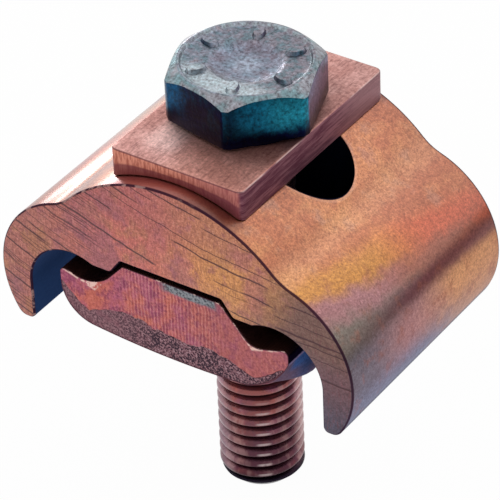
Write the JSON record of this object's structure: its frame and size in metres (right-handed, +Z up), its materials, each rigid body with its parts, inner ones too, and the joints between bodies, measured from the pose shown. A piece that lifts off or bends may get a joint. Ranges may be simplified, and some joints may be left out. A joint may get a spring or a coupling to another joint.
{
  "type": "parallel groove clamp",
  "caption": "Bolted parallel groove clamp for round conductors: hooked body, boat-shaped jaw, saddle washer that rocks over the rounded back, and hex bolt.",
  "frame": {"origin": "on the bolt's axis, midway between the two groove axes; the saddle washer rocks about the Y axis through it, and the middle of the body's and the jaw's length lies 0.7 mm towards -Y", "axes": "+X across the clamp, +Y along the conductors, +Z up the bolt towards its head"},
  "size_m": [0.0464, 0.0305, 0.0562],
  "materials": {
    "body_copper": "drawn copper alloy, heat-tinted, with sawn ends",
    "washer_copper": "drawn copper alloy, lightly scratched",
    "bolt_steel": "bright blue-white plated head, copper-coloured paste on the thread",
    "jaw_copper": "drawn copper alloy with sheared ends"
  },
  "bodies": {
    "clamp_body": {"clamp_body": "body_copper"},
    "saddle": {"saddle_washer": "washer_copper"},
    "bolt": {"hex_bolt": "bolt_steel"},
    "jaw": {"clamp_jaw": "jaw_copper"}
  },
  "joints": [
    {"name": "saddle_rock", "type": "hinge", "parent": "clamp_body", "child": "saddle", "pos_m": [0, 0, 0], "axis": [0, 1, 0], "range_deg": [-4, 4]},
    {"name": "bolt_turn", "type": "hinge", "parent": "saddle", "child": "bolt", "pos_m": [0, 0, 0], "axis": [0, 0, 1], "range_deg": [0, 5760]},
    {"name": "jaw_travel", "type": "slide", "parent": "saddle", "child": "jaw", "axis": [0, 0, -1], "range_m": [0, 0.024]}
  ],
  "couplings": [
    {"joint": "bolt_turn", "follows": "jaw_travel", "rad_per_m": 4188.8}
  ]
}
